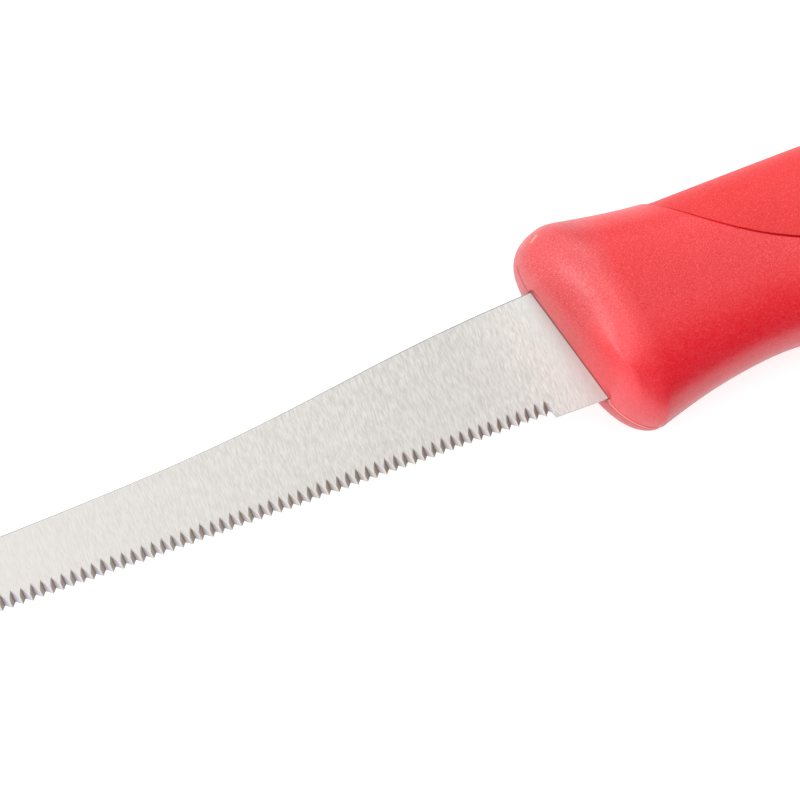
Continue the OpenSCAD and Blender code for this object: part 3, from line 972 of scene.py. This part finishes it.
def plastic(name, low, high, rough, gloss):
    """Spark-eroded mould grain on plastic with painted glints and shade on it, paler at the front from
    painted sheen and deeper in colour underneath from painted shading.
    """
    n = Nodes(name)
    x, y, z = n.source_xyz()
    grain = n.noise(MOULD_GRAIN, 1)
    pebble = n.noise(MOULD_PEBBLE, 2)
    cloud = n.noise(PLASTIC_CLOUD, 2)
    # Painted sheen: paler and hazier at the front of the nose, more so higher up
    front = n.ramp(n.math("MULTIPLY_ADD", y, -0.25, x), 7.2, 3.2, 0, 0.7)
    front = n.product(front, n.ramp(y, 1, 8, 0.3, 1))
    # Painted shading: a deeper red lower down, standing in for how light falls underneath
    under = n.ramp(y, 8, -1, 0, 0.8)
    low = n.mix(under, n.mix(front, linear(low), PLASTIC["front_low"]), PLASTIC["under_low"])
    high = n.mix(under, n.mix(front, linear(high), PLASTIC["front_high"]), PLASTIC["under_high"])
    share = n.math("MULTIPLY_ADD", grain, 0.8, n.math("MULTIPLY", cloud, 0.2))
    shade = n.mix(n.ramp(share, 0.36, 0.64, 0, 1), low, high)
    # Painted glints and shade on the grain, stronger on the glossier plastic
    speckle = 0.4 * gloss - 0.2
    shade = n.mix(n.ramp(grain, 0.56, 0.72, 0, speckle), shade, PLASTIC["speckle_pale"])
    shade = n.mix(n.ramp(grain, 0.44, 0.28, 0, speckle), shade, PLASTIC["speckle_dark"])
    return n.feed(
        Base_Color=mould_marks(n, x, y, z, shade),
        # The seam's painted shade is also made metallic, which darkens it further
        Metallic=seam_share(n, x, y),
        Roughness=n.ramp(pebble, *NOISE_SPAN, rough - 0.05, rough + 0.06),
        Specular_IOR_Level=gloss,
        Normal=n.bump(grain, 0.5, 0.00002, n.bump(pebble, 0.5, 0.00004)),
    )


def dress(obj, slot_name, material, *nodes):
    """Gives obj its material and its body, and hides the CAD nodes that it stands for; slot_name is not used.
    """
    obj.data.materials.clear()
    obj.data.materials.append(material)
    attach(obj, "root")
    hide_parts(*nodes)


# Stage

# Each wall of light: its axis, where on it the wall is dark and where full, and its brightness
WALLS = (
    ("X", 0.6, -0.6, (0.93, 0.93, 0.95)),
    ("Y", -0.5, 0.7, (0.52, 0.52, 0.53)),
)

FLOOR_COLOUR = (0.56, 0.62, 0.62, 1)
FLOOR_LIFT = 0.72
FLOOR_HALF = 3.0
FLOOR_DROP = 0.00003

# Each lamp's name, place and diameter in metres, and power in watts
LAMPS = (
    ("key", (-0.12, 0.10, 0.97), 0.35, 0.4),
    ("top", (0.22, 0.12, 0.97), 0.8, 1.3),
    ("side", (-0.75, 0.15, 0.65), 0.6, 1.7),
    ("rear", (0.15, 0.75, 0.65), 0.7, 1.4),
)

# The photograph's camera, in the source's own frame: what it looks at, how far off, tilts and focal length
CAMERA_AIM = (-17.7162, 7.6507, 0)
CAMERA_AWAY = 531.566
CAMERA_TO_POINT = math.radians(20)
CAMERA_TO_EDGE = math.radians(6)
CAMERA_ROLL = 0.33874705
FOCAL_PIXELS = 4541.146
FRAME_PIXELS = 800
SENSOR = 36


def make_floor():
    """A pale floor, lifted to white where the camera or a reflection sees it, which keeps the shadow."""
    r = FLOOR_HALF
    mesh = mesh_from("floor", [(-r, -r, 0), (r, -r, 0), (r, r, 0), (-r, r, 0)], [(0, 1, 2, 3)])
    floor = link("floor", mesh)
    floor.location.z = -FLOOR_DROP
    n = Nodes("floor_white")
    path = n.add("ShaderNodeLightPath").outputs
    seen = n.math("MAXIMUM", path["Is Camera Ray"], path["Is Glossy Ray"])
    seen = n.math("MAXIMUM", seen, path["Is Transmission Ray"])
    material = n.feed(
        Base_Color=FLOOR_COLOUR,
        Roughness=1.0,
        Emission_Color=(1, 1, 1, 1),
        Emission_Strength=n.math("MULTIPLY", seen, FLOOR_LIFT),
    )
    floor.data.materials.append(material)


def make_world():
    """A light tent, bright beyond the point and behind the back, dim past the handle."""
    world = bpy.data.worlds.new("studio")
    world.use_nodes = True
    tree = world.node_tree
    way = tree.nodes.new("ShaderNodeTexCoord")
    parts = tree.nodes.new("ShaderNodeSeparateXYZ")
    tree.links.new(way.outputs["Generated"], parts.inputs[0])
    both = tree.nodes.new("ShaderNodeVectorMath")
    both.operation = "ADD"
    for i, (axis, dark, full, brightness) in enumerate(WALLS):
        share = tree.nodes.new("ShaderNodeMapRange")
        share.interpolation_type = "SMOOTHSTEP"
        share.inputs["From Min"].default_value = dark
        share.inputs["From Max"].default_value = full
        tree.links.new(parts.outputs[axis], share.inputs["Value"])
        wall = tree.nodes.new("ShaderNodeVectorMath")
        wall.operation = "SCALE"
        wall.inputs[0].default_value = brightness
        tree.links.new(share.outputs["Result"], wall.inputs["Scale"])
        tree.links.new(wall.outputs[0], both.inputs[i])
    tree.links.new(both.outputs[0], tree.nodes["Background"].inputs["Color"])
    bpy.context.scene.world = world


def make_lamp(name, place, size, power):
    """A round soft lamp aimed at the middle of the part."""
    data = bpy.data.lights.new(name, "AREA")
    data.shape = "DISK"
    data.size = size
    data.energy = power
    obj = bpy.data.objects.new(name, data)
    bpy.context.scene.collection.objects.link(obj)
    obj.location = place
    obj.rotation_euler = (-Vector(place)).to_track_quat("-Z", "Y").to_euler()


def make_camera():
    """A camera that looks down on the near side, as the photograph's did."""
    target = (Vector(CAMERA_AIM) + PLACE) * MM
    back = Vector((-math.tan(CAMERA_TO_POINT), -math.tan(CAMERA_TO_EDGE), 1)).normalized()
    right = (Vector((1, 0, 0)) - back * back.x).normalized()
    up = back.cross(right)
    turned_right = math.cos(CAMERA_ROLL) * right - math.sin(CAMERA_ROLL) * up
    turned_up = math.sin(CAMERA_ROLL) * right + math.cos(CAMERA_ROLL) * up
    turn = Matrix((turned_right, turned_up, back)).transposed().to_4x4()
    data = bpy.data.cameras.new("camera")
    data.sensor_width = SENSOR
    data.lens = FOCAL_PIXELS / FRAME_PIXELS * SENSOR
    data.clip_start, data.clip_end = 0.05, 20
    camera = bpy.data.objects.new("camera", data)
    bpy.context.scene.collection.objects.link(camera)
    camera.matrix_world = Matrix.Translation(target + back * CAMERA_AWAY * MM) @ turn
    bpy.context.scene.camera = camera


dress(make_blade(), "steel", steel(), "blade")
dress(
    make_shell(),
    "hard_plastic",
    plastic("hard_red", (234, 0, 10), (246, 48, 56), rough=0.38, gloss=1.0),
    "handle_body",
)
dress(
    make_grip(),
    "soft_plastic",
    plastic("soft_red", (228, 0, 4), (240, 42, 44), rough=0.52, gloss=0.8),
    "soft_grip",
)
make_floor()
make_world()
for lamp in LAMPS:
    make_lamp(*lamp)
make_camera()
bpy.context.scene.view_settings.view_transform = "Standard"
